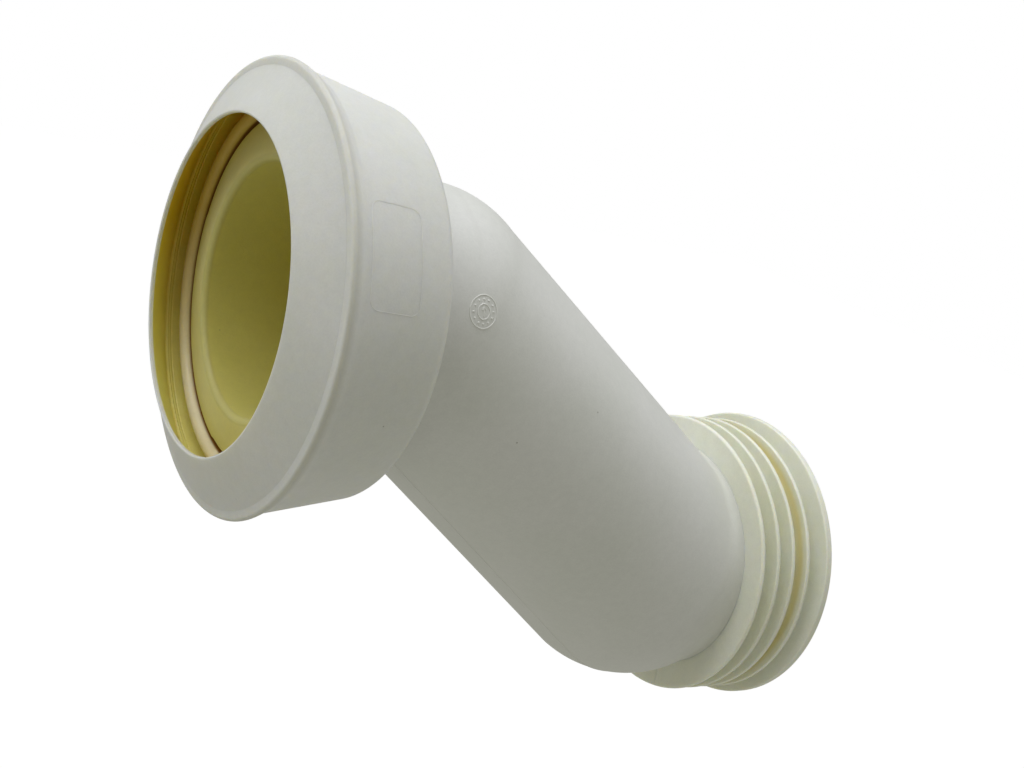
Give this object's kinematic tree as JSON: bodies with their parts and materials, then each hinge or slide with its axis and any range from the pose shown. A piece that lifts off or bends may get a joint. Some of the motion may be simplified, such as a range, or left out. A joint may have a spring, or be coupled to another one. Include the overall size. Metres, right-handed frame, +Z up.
{
  "type": "toilet pan connector",
  "caption": "Offset toilet pan connector: soft bell-shaped inlet cap and seal ring on a rigid pipe that steps down between rounded bends to a finned push-fit outlet sleeve.",
  "frame": {"origin": "centre of the inlet mouth's lip, on the inlet axis", "axes": "+X along the flow from the inlet to the outlet, +Z up with the outlet axis below the inlet axis, +Y to the left seen along the flow; both halves about Y = 0 are alike"},
  "size_m": [0.2409, 0.1366, 0.2083],
  "materials": {
    "pipe_plastic": "off-white satin moulded polypropylene",
    "cap_elastomer": "off-white satin soft moulding",
    "ring_elastomer": "beige matt soft ring",
    "sleeve_elastomer": "cream matt soft rubber"
  },
  "bodies": {
    "root": {"offset_pipe": "pipe_plastic", "inlet_cap": "cap_elastomer", "seal_ring": "ring_elastomer", "outlet_seal": "sleeve_elastomer"}
  },
  "joints": []
}
